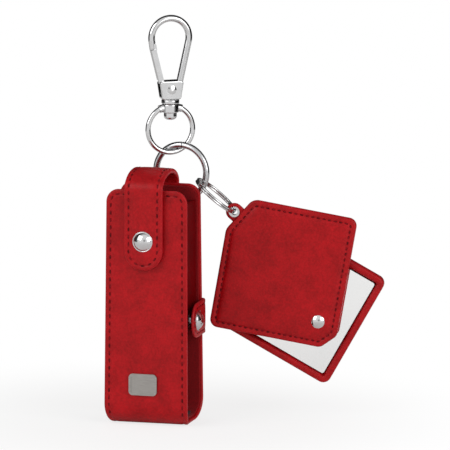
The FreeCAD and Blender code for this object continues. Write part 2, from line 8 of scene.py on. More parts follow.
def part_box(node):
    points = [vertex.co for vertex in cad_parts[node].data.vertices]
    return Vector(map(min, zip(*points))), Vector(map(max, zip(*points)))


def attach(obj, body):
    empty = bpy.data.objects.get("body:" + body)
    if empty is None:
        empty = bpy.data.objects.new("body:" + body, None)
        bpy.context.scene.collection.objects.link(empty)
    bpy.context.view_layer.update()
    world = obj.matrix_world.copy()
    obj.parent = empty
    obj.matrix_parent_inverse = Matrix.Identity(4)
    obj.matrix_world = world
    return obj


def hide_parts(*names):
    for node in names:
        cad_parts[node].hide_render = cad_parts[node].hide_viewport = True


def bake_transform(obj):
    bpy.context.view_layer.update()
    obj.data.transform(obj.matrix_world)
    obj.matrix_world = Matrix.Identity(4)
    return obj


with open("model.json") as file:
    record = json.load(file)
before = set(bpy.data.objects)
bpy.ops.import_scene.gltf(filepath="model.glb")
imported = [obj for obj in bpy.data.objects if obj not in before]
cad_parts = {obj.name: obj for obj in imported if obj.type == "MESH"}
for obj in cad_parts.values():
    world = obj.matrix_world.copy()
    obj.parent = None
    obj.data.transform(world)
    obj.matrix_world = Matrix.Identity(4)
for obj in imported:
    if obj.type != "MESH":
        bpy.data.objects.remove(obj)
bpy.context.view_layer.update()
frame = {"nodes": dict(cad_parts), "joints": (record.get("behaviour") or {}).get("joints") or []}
nodes = frame["nodes"]
joints = {j["name"]: j for j in frame["joints"]}
mm = 0.001
print("frame loaded:", len(nodes), "nodes")


# colours are sRGB hex, turned to linear here
def linear(hexColour):
    parts = [int(hexColour[i:i + 2], 16) / 255 for i in (1, 3, 5)]
    return tuple(p / 12.92 if p < 0.04045 else ((p + 0.055) / 1.055) ** 2.4 for p in parts) + (1,)


# one node, its settings, and its inputs as numbers or links
def addNode(tree, kind, settings=None, inputs=None):
    node = tree.nodes.new(kind)
    for name, value in (settings or {}).items():
        setattr(node, name, value)
    for name, value in (inputs or {}).items():
        if isinstance(value, bpy.types.NodeSocket):
            tree.links.new(value, node.inputs[name])
        else:
            node.inputs[name].default_value = value
    return node


def startMaterial(name, values):
    material = bpy.data.materials.new(name)
    material.use_nodes = True
    tree = material.node_tree
    shader = tree.nodes["Principled BSDF"]
    for socket, value in values.items():
        shader.inputs[socket].default_value = value
    coords = addNode(tree, "ShaderNodeTexCoord").outputs["Object"]
    return material, tree, shader, coords


# smooth dyed calf leather: soft mottling, a faint pebble and pores, and coated edges a shade lighter, the
# lighter tone standing in as a painted highlight on the edges;
# a real pebble is about 0.5 mm and is drawn larger so that it shows
leatherLook = {
    "deep": "#8E050B", "bright": "#B20C15", "paintAndShading": "#B41C24",
    "cloud": 7 * mm, "pebble": 0.9 * mm, "pore": 0.35 * mm, "roughness": 0.4, "bump": 0.22, "gloss": 0.19,
}
# the same leather on the side walls, left unbuffed and so duller; its colour is darkened as painted shade
# for the recess the walls sit in
wallPaintedShadeLook = dict(leatherLook, deep="#5A0205", bright="#76040A", paintAndShading="#5A0205", roughness=0.6, gloss=0.03)


def dyedCalfLeather(name, look):
    material, tree, shader, coords = startMaterial(name, {"Specular IOR Level": look["gloss"]})
    cloud = addNode(tree, "ShaderNodeTexNoise", inputs={
        "Vector": coords, "Scale": 1 / look["cloud"], "Detail": 4.0, "Roughness": 0.6})
    fine = addNode(tree, "ShaderNodeTexNoise", inputs={
        "Vector": coords, "Scale": 1 / look["pebble"], "Detail": 3.0, "Roughness": 0.55})
    both = addNode(tree, "ShaderNodeMath", {"operation": "MULTIPLY_ADD"}, {
        0: fine.outputs["Fac"], 1: 0.8, 2: cloud.outputs["Fac"]})
    share = addNode(tree, "ShaderNodeMapRange", inputs={
        "Value": both.outputs[0], "From Min": 0.66, "From Max": 1.14})
    dye = addNode(tree, "ShaderNodeMix", {"data_type": "RGBA"}, {
        "Factor": share.outputs[0], 6: linear(look["deep"]), 7: linear(look["bright"])})
    # the edge attribute mixes in the edge tone: on the buffed leather an edge coat lightened as a painted
    # highlight, on the side walls painted shade
    edge = addNode(tree, "ShaderNodeAttribute", {"attribute_name": "edge"})
    painted = addNode(tree, "ShaderNodeMix", {"data_type": "RGBA"}, {
        "Factor": edge.outputs["Fac"], 6: dye.outputs[2], 7: linear(look["paintAndShading"])})
    tree.links.new(painted.outputs[2], shader.inputs["Base Color"])
    rough = addNode(tree, "ShaderNodeMapRange", inputs={
        "Value": fine.outputs["Fac"], "From Min": 0.3, "From Max": 0.7,
        "To Min": look["roughness"] - 0.05, "To Max": look["roughness"] + 0.08})
    tree.links.new(rough.outputs[0], shader.inputs["Roughness"])
    cells = addNode(tree, "ShaderNodeTexVoronoi", {"feature": "DISTANCE_TO_EDGE"}, {
        "Vector": coords, "Scale": 1 / look["pebble"]})
    crease = addNode(tree, "ShaderNodeMapRange", inputs={
        "Value": cells.outputs["Distance"], "From Max": 0.22})
    pore = addNode(tree, "ShaderNodeTexNoise", inputs={"Vector": coords, "Scale": 1 / look["pore"]})
    height = addNode(tree, "ShaderNodeMath", {"operation": "MULTIPLY_ADD"}, {
        0: crease.outputs[0], 1: 0.5, 2: pore.outputs["Fac"]})
    bump = addNode(tree, "ShaderNodeBump", inputs={
        "Strength": look["bump"], "Distance": 0.1 * mm, "Height": height.outputs[0]})
    tree.links.new(bump.outputs[0], shader.inputs["Normal"])
    return material


# microfibre suede lining: matt, with a short nap that catches light unevenly
suedeLook = {"deep": "#70060C", "bright": "#8C0B12", "nap": 0.7 * mm}


def napSuede(name, look):
    material, tree, shader, coords = startMaterial(name, {
        "Roughness": 0.95, "Specular IOR Level": 0.12, "Sheen Weight": 0.06, "Sheen Roughness": 0.6})
    nap = addNode(tree, "ShaderNodeTexNoise", inputs={
        "Vector": coords, "Scale": 1 / look["nap"], "Detail": 5.0, "Roughness": 0.7})
    share = addNode(tree, "ShaderNodeMapRange", inputs={
        "Value": nap.outputs["Fac"], "From Min": 0.3, "From Max": 0.7})
    dye = addNode(tree, "ShaderNodeMix", {"data_type": "RGBA"}, {
        "Factor": share.outputs[0], 6: linear(look["deep"]), 7: linear(look["bright"])})
    tree.links.new(dye.outputs[2], shader.inputs["Base Color"])
    bump = addNode(tree, "ShaderNodeBump", inputs={
        "Strength": 0.5, "Distance": 0.15 * mm, "Height": nap.outputs["Fac"]})
    tree.links.new(bump.outputs[0], shader.inputs["Normal"])
    return material


# bonded polyester thread: a low gloss, and a twist that shows as slanting ridges
threadLook = {"deep": "#52040A", "bright": "#7C0E17", "twist": 0.35 * mm}


def bondedThread(name, look):
    material, tree, shader, coords = startMaterial(name, {"Roughness": 0.65, "Specular IOR Level": 0.12})
    twist = addNode(tree, "ShaderNodeTexWave", {"bands_direction": "DIAGONAL"}, {
        "Vector": coords, "Scale": 1 / look["twist"] / 20, "Distortion": 1.5})
    dye = addNode(tree, "ShaderNodeMix", {"data_type": "RGBA"}, {
        "Factor": twist.outputs["Fac"], 6: linear(look["deep"]), 7: linear(look["bright"])})
    tree.links.new(dye.outputs[2], shader.inputs["Base Color"])
    bump = addNode(tree, "ShaderNodeBump", inputs={
        "Strength": 0.4, "Distance": 0.06 * mm, "Height": twist.outputs["Fac"]})
    tree.links.new(bump.outputs[0], shader.inputs["Normal"])
    return material


# nickel plate on cast zinc: bright, with faint handling haze and a very slight cast waviness
polishedLook = {
    "deep": "#C4C4C5", "bright": "#D6D6D6", "roughness": 0.06, "haze": 2.5 * mm, "wave": 1.8 * mm,
}
satinLook = dict(polishedLook, deep="#B4B5B7", bright="#C8C9CA", roughness=0.2)


def nickelPlate(name, look):
    material, tree, shader, coords = startMaterial(name, {"Metallic": 1.0})
    haze = addNode(tree, "ShaderNodeTexNoise", inputs={
        "Vector": coords, "Scale": 1 / look["haze"], "Detail": 4.0, "Roughness": 0.6})
    tone = addNode(tree, "ShaderNodeMix", {"data_type": "RGBA"}, {
        "Factor": haze.outputs["Fac"], 6: linear(look["deep"]), 7: linear(look["bright"])})
    tree.links.new(tone.outputs[2], shader.inputs["Base Color"])
    rough = addNode(tree, "ShaderNodeMapRange", inputs={
        "Value": haze.outputs["Fac"], "From Min": 0.3, "From Max": 0.7,
        "To Min": look["roughness"], "To Max": look["roughness"] + 0.06})
    tree.links.new(rough.outputs[0], shader.inputs["Roughness"])
    wave = addNode(tree, "ShaderNodeTexNoise", inputs={
        "Vector": coords, "Scale": 1 / look["wave"], "Detail": 1.0})
    bump = addNode(tree, "ShaderNodeBump", inputs={
        "Strength": 0.12, "Distance": 0.05 * mm, "Height": wave.outputs["Fac"]})
    tree.links.new(bump.outputs[0], shader.inputs["Normal"])
    return material


# nickel brushed along its length: fine level scratches that spread the light sideways
brushedLook = {"deep": "#8E8B87", "bright": "#B3B0AC", "scratch": 0.16 * mm}


def brushedNickel(name, look):
    material, tree, shader, coords = startMaterial(name, {"Metallic": 1.0, "Roughness": 0.3})
    drawn = addNode(tree, "ShaderNodeMapping", inputs={"Vector": coords, "Scale": (0.06, 1, 1)})
    lines = addNode(tree, "ShaderNodeTexNoise", inputs={
        "Vector": drawn.outputs[0], "Scale": 1 / look["scratch"]})
    tone = addNode(tree, "ShaderNodeMix", {"data_type": "RGBA"}, {
        "Factor": lines.outputs["Fac"], 6: linear(look["deep"]), 7: linear(look["bright"])})
    tree.links.new(tone.outputs[2], shader.inputs["Base Color"])
    bump = addNode(tree, "ShaderNodeBump", inputs={
        "Strength": 0.25, "Distance": 0.03 * mm, "Height": lines.outputs["Fac"]})
    tree.links.new(bump.outputs[0], shader.inputs["Normal"])
    return material


# silvered float glass: a near-perfect mirror with a faint film of haze
glassLook = {"deep": "#F8FAFA", "bright": "#FEFEFE", "film": 14 * mm}


def silveredGlass(name, look):
    material, tree, shader, coords = startMaterial(name, {"Metallic": 1.0})
    film = addNode(tree, "ShaderNodeTexNoise", inputs={"Vector": coords, "Scale": 1 / look["film"]})
    tone = addNode(tree, "ShaderNodeMix", {"data_type": "RGBA"}, {
        "Factor": film.outputs["Fac"], 6: linear(look["deep"]), 7: linear(look["bright"])})
    tree.links.new(tone.outputs[2], shader.inputs["Base Color"])
    rough = addNode(tree, "ShaderNodeMapRange", inputs={
        "Value": film.outputs["Fac"], "To Min": 0.02, "To Max": 0.05})
    tree.links.new(rough.outputs[0], shader.inputs["Roughness"])
    return material


# grey fibre board inside the layers: dull, with short flecks
boardLook = {"deep": "#2A1A1A", "bright": "#4A2C2C", "fleck": 0.8 * mm}


def fibreBoard(name, look):
    material, tree, shader, coords = startMaterial(name, {"Roughness": 0.9})
    fleck = addNode(tree, "ShaderNodeTexNoise", inputs={
        "Vector": coords, "Scale": 1 / look["fleck"], "Detail": 4.0, "Roughness": 0.7})
    tone = addNode(tree, "ShaderNodeMix", {"data_type": "RGBA"}, {
        "Factor": fleck.outputs["Fac"], 6: linear(look["deep"]), 7: linear(look["bright"])})
    tree.links.new(tone.outputs[2], shader.inputs["Base Color"])
    return material


leather = dyedCalfLeather("dyedCalfLeather", leatherLook)
# the side-wall copy of the leather, its colour darkened as painted shade
wallPaintedShadeLeather = dyedCalfLeather("dyedCalfLeatherUnbuffedPaintedShade", wallPaintedShadeLook)
suede = napSuede("microfibreSuede", suedeLook)
thread = bondedThread("bondedThread", threadLook)
polished = nickelPlate("polishedNickelPlate", polishedLook)
satin = nickelPlate("satinNickelPlate", satinLook)
brushed = brushedNickel("brushedNickel", brushedLook)
mirrorGlass = silveredGlass("silveredGlass", glassLook)
board = fibreBoard("fibreBoard", boardLook)
print("materials made")


# a closed mesh with its doubles merged and its faces turned outwards
def meshObject(name, vertices, faces, material):
    mesh = bpy.data.meshes.new(name)
    mesh.from_pydata([tuple(v) for v in vertices], [], faces)
    mesh.validate()
    work = bmesh.new()
    work.from_mesh(mesh)
    bmesh.ops.remove_doubles(work, verts=work.verts, dist=0.002 * mm)
    bmesh.ops.recalc_face_normals(work, faces=work.faces)
    work.to_mesh(mesh)
    work.free()
    mesh.materials.append(material)
    for face in mesh.polygons:
        face.use_smooth = True
    thing = bpy.data.objects.new(name, mesh)
    bpy.context.scene.collection.objects.link(thing)
    return thing


# one rounded corner, from its first tangent point to its last
def cornerArc(before, here, after, radius, count=0, step=0.6):
    back, onward = (before - here).normalized(), (after - here).normalized()
    half = back.angle(onward) / 2
    trim = radius / math.tan(half)
    centre = here + (back + onward).normalized() * (radius / math.sin(half))
    start = here + back * trim - centre
    turn = (here + onward * trim - centre).angle_signed(start)
    count = count or max(4, int(abs(turn) * radius / step))
    return [centre + Matrix.Rotation(turn * k / count, 2) @ start for k in range(count + 1)]


# points of a bent strip's side view: straight runs with round corners
def roundedRun(corners, step=0.6):
    flat = [Vector(c[:2]) for c in corners]
    points = flat[:1]
    for i in range(1, len(flat) - 1):
        points += cornerArc(flat[i - 1], flat[i], flat[i + 1], corners[i][2], step=step)
    return points + flat[-1:]


# a run's length, and its point and outward normal at any distance along it
class Run:
    def __init__(self, points, side=1):
        self.points = [Vector(p) for p in points]
        self.marks = [0.0]
        for a, b in zip(self.points, self.points[1:]):
            self.marks.append(self.marks[-1] + (b - a).length)
        self.length = self.marks[-1]
        self.side = side

    def point(self, s):
        s = min(max(s, 0), self.length)
        for i in range(len(self.marks) - 1):
            if s <= self.marks[i + 1] or i == len(self.marks) - 2:
                share = (s - self.marks[i]) / max(self.marks[i + 1] - self.marks[i], 1e-9)
                return self.points[i].lerp(self.points[i + 1], share)

    def normal(self, s):
        reach = 0.25
        along = (self.point(s + reach) - self.point(s - reach)).normalized()
        return Vector((along.y, -along.x)) * self.side


# the height of a strip's face near its edge: a rounded lip, a groove under the seam, a swell inside it
def roundedHeight(distance, thickness, look):
    lip = look.get("lip", 0.45) * thickness
    height = thickness
    if distance < lip:
        height -= lip - math.sqrt(max(lip * lip - (lip - distance) ** 2, 0))
    seam = look.get("seam")
    if seam:
        height -= look.get("groove", 0.16) * math.exp(-((distance - seam) / 0.38) ** 2)
        rise = min(max((distance - seam) / look.get("swell", 3.0), 0), 1)
        height += look.get("puff", 0.0) * rise * rise * (3 - 2 * rise)
    return height


# a strip of leather: width by length, both faces, rounded edges, stitched groove, bent along a run
def leatherStrip(name, width, run, place, thickness, look, material, ends=(0, 0)):
    length = run.length
    edges = [0, 0.04, 0.12, 0.25, 0.42, 0.65, 0.95, 1.25, 1.5, 1.75, 2.0, 2.3, 2.8, 3.6, 4.8]
    rows = {round(e, 4) for e in edges} | {round(length - e, 4) for e in edges}
    rows |= {round(m, 3) for m in run.marks}
    for end, radius in zip((0, 1), ends):
        for k in range(1, 15):
            s = radius * (1 - math.cos(math.pi / 2 * k / 14))
            rows.add(round(length - s if end else s, 4))
    rows = sorted(r for r in rows if 0 <= r <= length)
    kept = [rows[0]]
    for r in rows[1:]:
        while r - kept[-1] > 2.6:
            kept.append(kept[-1] + (r - kept[-1]) / math.ceil((r - kept[-1]) / 2.4))
        if r - kept[-1] > 0.02:
            kept.append(r)

    def halfAt(s):
        half = width(s) / 2
        for distance, radius in ((s, ends[0]), (length - s, ends[1])):
            if distance < radius:
                half = min(half, half - radius + math.sqrt(max(radius ** 2 - (radius - distance) ** 2, 0)))
        return max(half, 0)

    def edgeDistance(x, s):
        half = width(s) / 2
        best = min(half - abs(x), s, length - s)
        for distance, radius in ((s, ends[0]), (length - s, ends[1])):
            if distance < radius and abs(x) > half - radius:
                best = min(best, radius - math.hypot(abs(x) - half + radius, radius - distance))
        return max(best, 0)

    inner = 10
    shares = [-1 + 2 * k / inner for k in range(inner + 1)]
    front, back = [], []
    for s in kept:
        half = halfAt(s)
        flat = max(half - edges[-1], half * 0.3)
        squeeze = min(1.0, (half - flat) / edges[-1])
        xs = [-half + e * squeeze for e in edges[:-1]]
        xs += [flat * q for q in shares]
        xs += [half - e * squeeze for e in reversed(edges[:-1])]
        columns = len(xs)
        for x in xs:
            distance = edgeDistance(x, s)
            high = roundedHeight(distance, thickness, look)
            low = thickness - roundedHeight(distance, thickness, {"lip": look.get("lip", 0.45)})
            front.append(place(x, s, high))
            back.append(place(x, s, low))
    count = len(front)
    total = len(kept)
    faces = []
    for r in range(total - 1):
        for c in range(columns - 1):
            a = r * columns + c
            faces.append((a, a + 1, a + 1 + columns, a + columns))
            faces.append((count + a, count + a + columns, count + a + 1 + columns, count + a + 1))
    rim = [r * columns for r in range(total)] + [(total - 1) * columns + c for c in range(1, columns)]
    rim += [r * columns + columns - 1 for r in range(total - 2, -1, -1)] + list(range(columns - 2, 0, -1))
    for a, b in zip(rim, rim[1:] + rim[:1]):
        faces.append((a, b, count + b, count + a))
    thing = meshObject(name, front + back, faces, material)
    return thing, edgeDistance


# how much edge colour each point carries, from 0 to 1: an edge coat lightened as a painted highlight on the
# buffed leather, painted shade on the side walls
def markEdges(thing, shareOf):
    layer = thing.data.attributes.new("edge", "FLOAT", "POINT")
    for vertex in thing.data.vertices:
        layer.data[vertex.index].value = shareOf(vertex.co)


# stitches: one tree lays a sewn stitch at every pitch along a line
def stitchTree():
    tree = bpy.data.node_groups.new("sewnStitches", "GeometryNodeTree")
    face = tree.interface
    face.new_socket("Geometry", in_out="INPUT", socket_type="NodeSocketGeometry")
    sizes = {"Pitch": 3 * mm, "Length": 1.9 * mm, "Width": 0.5 * mm, "Height": 0.34 * mm}
    for name, value in sizes.items():
        socket = face.new_socket(name, in_out="INPUT", socket_type="NodeSocketFloat")
        socket.default_value = value
    face.new_socket("Thread", in_out="INPUT", socket_type="NodeSocketMaterial")
    face.new_socket("Geometry", in_out="OUTPUT", socket_type="NodeSocketGeometry")
    given = addNode(tree, "NodeGroupInput").outputs
    curve = addNode(tree, "GeometryNodeMeshToCurve", inputs={"Mesh": given["Geometry"]})
    spaced = addNode(tree, "GeometryNodeResampleCurve", {"mode": "LENGTH"}, {
        "Curve": curve.outputs[0], "Length": given["Pitch"]})
    tangent = addNode(tree, "GeometryNodeInputTangent")
    up = addNode(tree, "GeometryNodeInputNamedAttribute", {"data_type": "FLOAT_VECTOR"}, {"Name": "up"})
    aim = addNode(tree, "FunctionNodeAlignRotationToVector", {"axis": "X"}, {"Vector": tangent.outputs[0]})
    stand = addNode(tree, "FunctionNodeAlignRotationToVector", {"axis": "Z", "pivot_axis": "X"}, {
        "Rotation": aim.outputs[0], "Vector": up.outputs[0]})
    bead = addNode(tree, "GeometryNodeMeshUVSphere", inputs={"Segments": 8, "Rings": 5, "Radius": 0.5})
    size = addNode(tree, "ShaderNodeCombineXYZ", inputs={
        0: given["Length"], 1: given["Width"], 2: given["Height"]})
    laid = addNode(tree, "GeometryNodeInstanceOnPoints", inputs={
        "Points": spaced.outputs[0], "Instance": bead.outputs[0],
        "Rotation": stand.outputs[0], "Scale": size.outputs[0]})
    real = addNode(tree, "GeometryNodeRealizeInstances", inputs={0: laid.outputs[0]})
    smooth = addNode(tree, "GeometryNodeSetShadeSmooth", inputs={0: real.outputs[0]})
    coloured = addNode(tree, "GeometryNodeSetMaterial", inputs={
        "Geometry": smooth.outputs[0], "Material": given["Thread"]})
    addNode(tree, "NodeGroupOutput", inputs={0: coloured.outputs[0]})
    return tree


stitching = stitchTree()


threadSink = 0.06  # how deep a stitch's middle lies under the face, in mm


# lines are lists of (point, up) in metres
def sewLines(name, lines, pitch, length, width=0.7, height=0.36):
    vertices, ups, edges = [], [], []
    for line in lines:
        first = len(vertices)
        vertices += [tuple(p) for p, _ in line]
        ups += [tuple(u) for _, u in line]
        edges += [(first + i, first + i + 1) for i in range(len(line) - 1)]
    mesh = bpy.data.meshes.new(name)
    mesh.from_pydata(vertices, edges, [])
    layer = mesh.attributes.new("up", "FLOAT_VECTOR", "POINT")
    for i, u in enumerate(ups):
        layer.data[i].vector = u
    seam = bpy.data.objects.new(name, mesh)
    bpy.context.scene.collection.objects.link(seam)
    modifier = seam.modifiers.new("stitches", "NODES")
    modifier.node_group = stitching
    wanted = {"Pitch": pitch * mm, "Length": length * mm, "Width": width * mm,
              "Height": height * mm, "Thread": thread}
    for item in stitching.interface.items_tree:
        if item.item_type == "SOCKET" and item.in_out == "INPUT" and item.name in wanted:
            modifier[item.identifier] = wanted[item.name]
    made = bpy.data.meshes.new_from_object(seam.evaluated_get(bpy.context.evaluated_depsgraph_get()))
    seam.modifiers.remove(modifier)
    seam.data = made
    made.name = name
    return seam


# a seam drawn on a strip at (x, s) points, lying in its groove
def seamOn(place, points, high):
    line = []
    for x, s in points:
        base = place(x, s, high)
        line.append((base, (place(x, s, high + 1) - base).normalized()))
    return line


def frange(start, end, count):
    return [start + (end - start) * k / count for k in range(count + 1)]


def arcPoints(cx, cy, radius, start, end, count=12):
    turns = [math.radians(start + (end - start) * k / count) for k in range(count + 1)]
    return [(cx + radius * math.cos(t), cy + radius * math.sin(t)) for t in turns]


# the case: one wrap of leather, front, base and back
shellLow, shellHigh = (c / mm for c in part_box("outer_shell"))
caseSize = {
    "width": shellHigh.x - shellLow.x, "height": shellHigh.z, "depth": 25.0,
    "depthTop": 21.0, "widthTop": 32.2, "thickness": 1.5, "baseRadius": 8.5, "corner": 5.0,
    "seam": 1.95, "pitch": 2.85, "stitch": 1.75, "seamFoot": 4.2, "waist": 1.6, "liner": 0.7,
}


def halfDepth(z):
    return (caseSize["depth"] - (caseSize["depth"] - caseSize["depthTop"]) * z / caseSize["height"]) / 2


def fullWidth(z):
    return caseSize["width"] - (caseSize["width"] - caseSize["widthTop"]) * z / caseSize["height"]


def wrapRun(inset, top):
    low = inset
    return Run(roundedRun([
        (-halfDepth(top) + inset, top, 0),
        (-halfDepth(low) + inset, low, caseSize["baseRadius"] - inset),
        (halfDepth(low) - inset, low, caseSize["baseRadius"] - inset),
        (halfDepth(top) - inset, top, 0)]))


# places a strip's points (across, along, height) round a run that is seen from the side
def alongRun(run, inner, centre=0):
    def place(x, s, high):
        p, n = run.point(s), run.normal(s)
        return Vector((x + centre, p.x + n.x * (high - inner), p.y + n.y * (high - inner))) * mm
    return place


def makeCase(size):
    thick, liner = size["thickness"], size["liner"]
    run = wrapRun(0, size["height"])
    place = alongRun(run, thick)
    look = {"lip": 0.5, "seam": size["seam"], "groove": 0.17, "puff": 0.0}

    # the wrap is cut narrower where it folds under the case
    def width(s):
        z = min(max(run.point(s).y, 0), size["height"])
        fold = max(0.0, 1 - z / size["baseRadius"])
        return fullWidth(z) - 2 * size["waist"] * (1 - math.sqrt(max(0.0, 1 - fold * fold)))
    wrap, distance = leatherStrip(
        "caseWrap", width, run, place, thick, look, leather, (size["corner"], size["corner"]))
    markStripEdgeCoatAndHighlight(wrap, run, distance)
    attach(wrap, "case")
    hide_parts("outer_shell")
    lines = []
    inset, corner = size["seam"], size["corner"]
    for back in (False, True):
        at = (lambda s: run.length - s) if back else (lambda s: s)
        stop = next(s / 4 for s in range(int(run.length * 2)) if run.point(s / 4).y < size["seamFoot"] + 1)
        half = size["widthTop"] / 2
        arc = arcPoints(half - corner, corner, corner - inset, 0, -90)
        right = [(width(s) / 2 - inset, s) for s in frange(stop, corner, 40)] + arc
        left = [(-x, s) for x, s in reversed(right)]
        lines.append(seamOn(place, [(x, at(s)) for x, s in right + left], thick - threadSink))
    seams = sewLines("caseSeams", lines, size["pitch"], size["stitch"])
    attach(seams, "case")
    lining = wrapRun(thick, size["height"] - 1)
    linerWidth = lambda s: width(run.length * s / lining.length) - 2
    inside = leatherStrip(
        "caseLining", linerWidth, lining, alongRun(lining, liner), liner, {"lip": 0.4}, suede, (4, 4))[0]
    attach(inside, "case")
    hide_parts("lining")


edgeCoatAndHighlightReach = 0.35  # how far the edge coat, lightened as a painted highlight, runs on to the face, in mm


# the cut edge gets an edge coat, a shade lighter as a painted highlight
def markStripEdgeCoatAndHighlight(thing, run, distance, across=lambda co: co.x / mm, other=lambda co: (co.y / mm, co.z / mm)):
    marks = [(s, run.point(s)) for s in frange(0, run.length, 400)]

    def shareOf(co):
        here = Vector(other(co))
        s = min(marks, key=lambda m: (m[1] - here).length_squared)[0]
        return max(0.0, 1 - distance(across(co), s) / edgeCoatAndHighlightReach)
    markEdges(thing, shareOf)


makeCase(caseSize)
print("case wrap and lining made")

# side walls, folded in a little along their middle
gussetSize = {"thickness": 1.2, "fold": 0.55, "arch": 3.0, "archEnd": 12, "wallGap": 0.72, "paintAndShading": 0.35}


def makeGusset(node, side, size):
    low, high = (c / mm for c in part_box(node))
    face = high.x if side > 0 else low.x
    run = Run([(0, low.z + (high.z - low.z) * k / 30) for k in range(31)])
    wall = caseSize["thickness"] + size["wallGap"]

    def place(x, s, rise):
        z = run.point(s).y
        half = halfDepth(z) - wall
        bend = size["fold"] * (1 - (x / half) ** 2)
        lift = size["arch"] * (1 - (x / half) ** 2) * max(0.0, 1 - s / size["archEnd"])
        return Vector((face - side * (size["thickness"] - rise + bend), x, z + lift)) * mm
    width = lambda s: 2 * (halfDepth(run.point(s).y) - wall)
    name = node + "Leather"
    thing = leatherStrip(name, width, run, place, size["thickness"], {"lip": 0.4}, wallPaintedShadeLeather)[0]
    # the whole wall is mixed about a third of the way to its deepest tone: painted shade for the recess it
    # sits in
    markEdges(thing, lambda co: size["paintAndShading"])
    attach(thing, "case")
    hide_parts(node)


makeGusset("right_gusset", 1, gussetSize)
makeGusset("left_gusset", -1, gussetSize)
print("side walls made")

# the strap: one band from the back, over the mouth, to the stud on the front
strapLow, strapHigh = (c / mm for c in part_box("strap_flap"))
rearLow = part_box("strap_rear")[0] / mm
strapSize = {
    "width": strapHigh.x - strapLow.x, "x": (strapHigh.x + strapLow.x) / 2, "thickness": 2.0,
    "gap": 0.9, "apex": strapHigh.z, "spring": caseSize["height"] + 0.3, "tip": strapLow.z,
    "tail": rearLow.z, "seam": 1.95, "pitch": 2.85, "stitch": 1.65, "bendReach": 5,
}


def strapRun(size):
    thick, gap = size["thickness"], size["gap"]
    back = lambda z: halfDepth(z) + thick
    front = lambda z: -halfDepth(z) - gap - thick
    spring = size["spring"]
    middle, half = (back(spring) + front(spring)) / 2, (back(spring) - front(spring)) / 2
    points = [Vector((back(z), z)) for z in frange(size["tail"], spring - 1, 20)]
    for k in range(41):
        t = math.pi * k / 40
        points.append(Vector((middle + half * math.cos(t), spring + (size["apex"] - spring) * math.sin(t))))
    points += [Vector((front(z), z)) for z in frange(spring - 1, size["tip"], 20)]
    return Run(points)


def makeStrap(size):
    run = strapRun(size)
    thick, centre = size["thickness"], size["x"]
    place = alongRun(run, thick, centre)
    look = {"lip": 0.45, "seam": size["seam"], "groove": 0.2, "puff": 0.12, "swell": 2.5}
    tip = size["width"] / 2
    ends = (2.0, tip - 0.02)
    wide = lambda s: size["width"]
    band, distance = leatherStrip("strapBand", wide, run, place, thick, look, leather, ends)
    markStripEdgeCoatAndHighlight(band, run, distance, lambda co: co.x / mm - centre)
    inset, half, length = size["seam"], size["width"] / 2, run.length
    side = half - inset
    points = [(side, s) for s in frange(inset + 1, length - tip, 60)]
    points += arcPoints(0, length - tip, side, 0, 180, 24)
    points += [(-side, s) for s in frange(length - tip, inset + 1, 60)]
    line = seamOn(place, points, thick - threadSink)
    seams = sewLines("strapSeams", [line], size["pitch"], size["stitch"], 0.72)
    for piece in (band, seams):
        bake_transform(piece)
    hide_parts("strap_flap", "strap_rear")


makeStrap(strapSize)
print("strap made")

# side tab: from the back, round the right edge, to the stud on the side wall
tabLow, tabHigh = (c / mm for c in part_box("side_tab"))
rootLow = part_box("side_tab_root")[0] / mm
tabSize = {
    "width": tabHigh.z - tabLow.z, "z": (tabHigh.z + tabLow.z) / 2, "thickness": tabHigh.x - tabLow.x,
    "bend": 2.6, "seam": 1.75, "pitch": 2.6, "stitch": 1.5,
}


def makeTab(size):
    thick = size["thickness"]
    z = size["z"]
    back = halfDepth(z) + thick
    corners = [(rootLow.x, back, 0), (tabHigh.x, back, size["bend"]), (tabHigh.x, tabLow.y, 0)]
    points = roundedRun(corners, 0.2)
    run = Run(points, -1)

    def place(x, s, high):
        p, n = run.point(s), run.normal(s)
        lean = (halfDepth(z + x) - halfDepth(z)) * max(0, min(1, (tabHigh.x - p.x) / 3))
        return Vector((p.x + n.x * (high - thick), p.y + n.y * (high - thick) + lean, z + x)) * mm
    look = {"lip": 0.45, "seam": size["seam"], "groove": 0.14, "puff": 0.06}
    ends = (0.8, size["width"] / 2 - 0.02)
    wide = lambda s: size["width"]
    tab, distance = leatherStrip("sideTab", wide, run, place, thick, look, leather, ends)
    markStripEdgeCoatAndHighlight(tab, run, distance, lambda co: co.z / mm - z, lambda co: (co.x / mm, co.y / mm))
    tip, length, side = size["width"] / 2, run.length, size["width"] / 2 - size["seam"]
    points = [(side, s) for s in frange(1.5, length - tip, 30)]
    points += arcPoints(0, length - tip, side, 0, 180, 20)
    points += [(-side, s) for s in frange(length - tip, 1.5, 30)]
    line = seamOn(place, points, thick - 0.05)
    seams = sewLines("tabSeams", [line], size["pitch"], size["stitch"], 0.6, 0.3)
    hinge = Vector(joints["side_tab_open"]["pos_m"])
    for piece in (tab, seams):
        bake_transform(piece)
    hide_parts("side_tab", "side_tab_root")


makeTab(tabSize)
print("side tab made")

# the loop on the back that the carrier ring runs through
loopLow, loopHigh = (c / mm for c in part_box("hanging_loop"))
loopSize = {"thickness": 1.2, "bore": 2.15}


